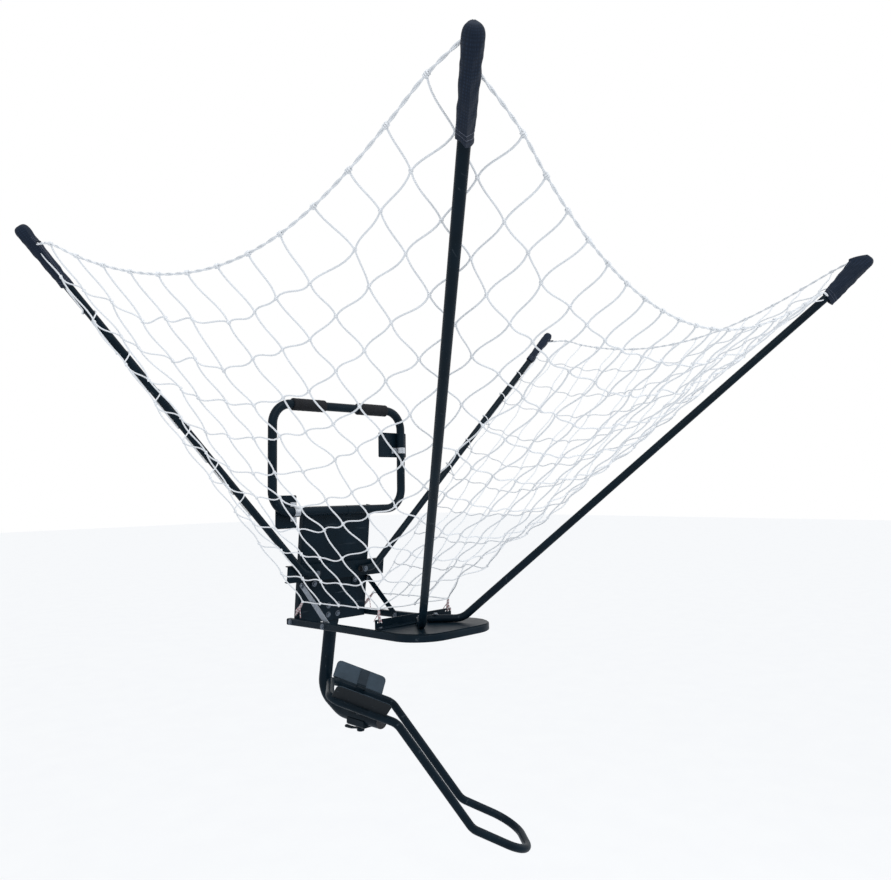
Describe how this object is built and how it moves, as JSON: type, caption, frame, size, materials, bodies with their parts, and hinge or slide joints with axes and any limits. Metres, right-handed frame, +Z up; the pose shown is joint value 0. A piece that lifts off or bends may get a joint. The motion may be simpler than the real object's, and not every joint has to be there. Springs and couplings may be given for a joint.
{
  "type": "basketball return net",
  "caption": "Steel frame that hangs under a basketball goal, with a square-mesh netting funnel on four poles and a swivelling chute of bent tube.",
  "frame": {"origin": "middle of the hanger loop's top bar, on the bar's axis, where the whole frame hangs", "axes": "+Z up, -Y toward the player, +X to the right when seen by the player facing the goal, along the top bar"},
  "size_m": [2.0412, 1.4935, 1.7655],
  "materials": {
    "frame_paint": "semi-gloss",
    "chute_paint": "satin",
    "zinc": "zinc plated",
    "bolt_steel": "dull zinc plated",
    "rubber": "matte",
    "fabric": "woven matte",
    "twine": "braided white cord"
  },
  "bodies": {
    "frame": {"arm_bolt_left": "bolt_steel", "arm_bolt_right": "bolt_steel", "back_plate": "frame_paint", "base_frame": "frame_paint", "clamp_bolt_left_lower": "zinc", "clamp_bolt_left_upper": "zinc", "clamp_bolt_right_inner": "zinc", "clamp_bolt_right_outer": "zinc", "clamp_plate_left": "frame_paint", "clamp_plate_right": "frame_paint", "clamp_strap_left": "zinc", "clamp_strap_right": "zinc", "crossbar_bolt_left": "bolt_steel", "crossbar_bolt_right": "bolt_steel", "foot_shelf": "frame_paint", "front_pole_bolt_left": "bolt_steel", "front_pole_bolt_right": "bolt_steel", "front_pole_left": "frame_paint", "front_pole_right": "frame_paint", "hanger_loop": "frame_paint", "hanger_sleeve_left": "rubber", "hanger_sleeve_right": "rubber", "net_bar": "frame_paint", "net_bar_bolt_left": "bolt_steel", "net_bar_bolt_right": "bolt_steel", "net_front": "twine", "net_left": "twine", "net_right": "twine", "net_tie_front_left": "twine", "net_tie_front_right": "twine", "net_tie_rear_left": "twine", "net_tie_rear_right": "twine", "pole_crossbar": "frame_paint", "rear_pole_bolt_left": "bolt_steel", "rear_pole_bolt_right": "bolt_steel", "rear_pole_left": "frame_paint", "rear_pole_right": "frame_paint", "strut_left": "zinc", "strut_low_bolt_left": "bolt_steel", "strut_low_bolt_right": "bolt_steel", "strut_right": "frame_paint", "strut_top_bolt_left": "bolt_steel", "strut_top_bolt_right": "bolt_steel", "support_bolt_1": "bolt_steel", "support_bolt_2": "bolt_steel", "support_bolt_3": "bolt_steel", "support_bolt_4": "bolt_steel", "support_tube": "frame_paint", "swivel_saddle": "frame_paint", "swivel_seat": "rubber", "tip_sleeve_front_left": "fabric", "tip_sleeve_front_right": "fabric", "tip_sleeve_rear_left": "fabric", "tip_sleeve_rear_right": "fabric"},
    "chute": {"chute_rails": "frame_paint", "chute_cradle": "frame_paint", "chute_wing_left": "chute_paint", "chute_wing_right": "chute_paint", "swivel_bolt": "zinc"},
    "lever": {"clamp_lever": "frame_paint"}
  },
  "joints": [
    {"name": "chute_swivel", "type": "hinge", "parent": "frame", "child": "chute", "pos_m": [0, -0.093, -0.94], "axis": [0, 0, 1], "range_deg": [-105, 1]},
    {"name": "lever_turn", "type": "hinge", "parent": "chute", "child": "lever", "pos_m": [0, -0.093, -1.002], "axis": [0, 0, 1], "range_deg": [-90, 90]}
  ]
}
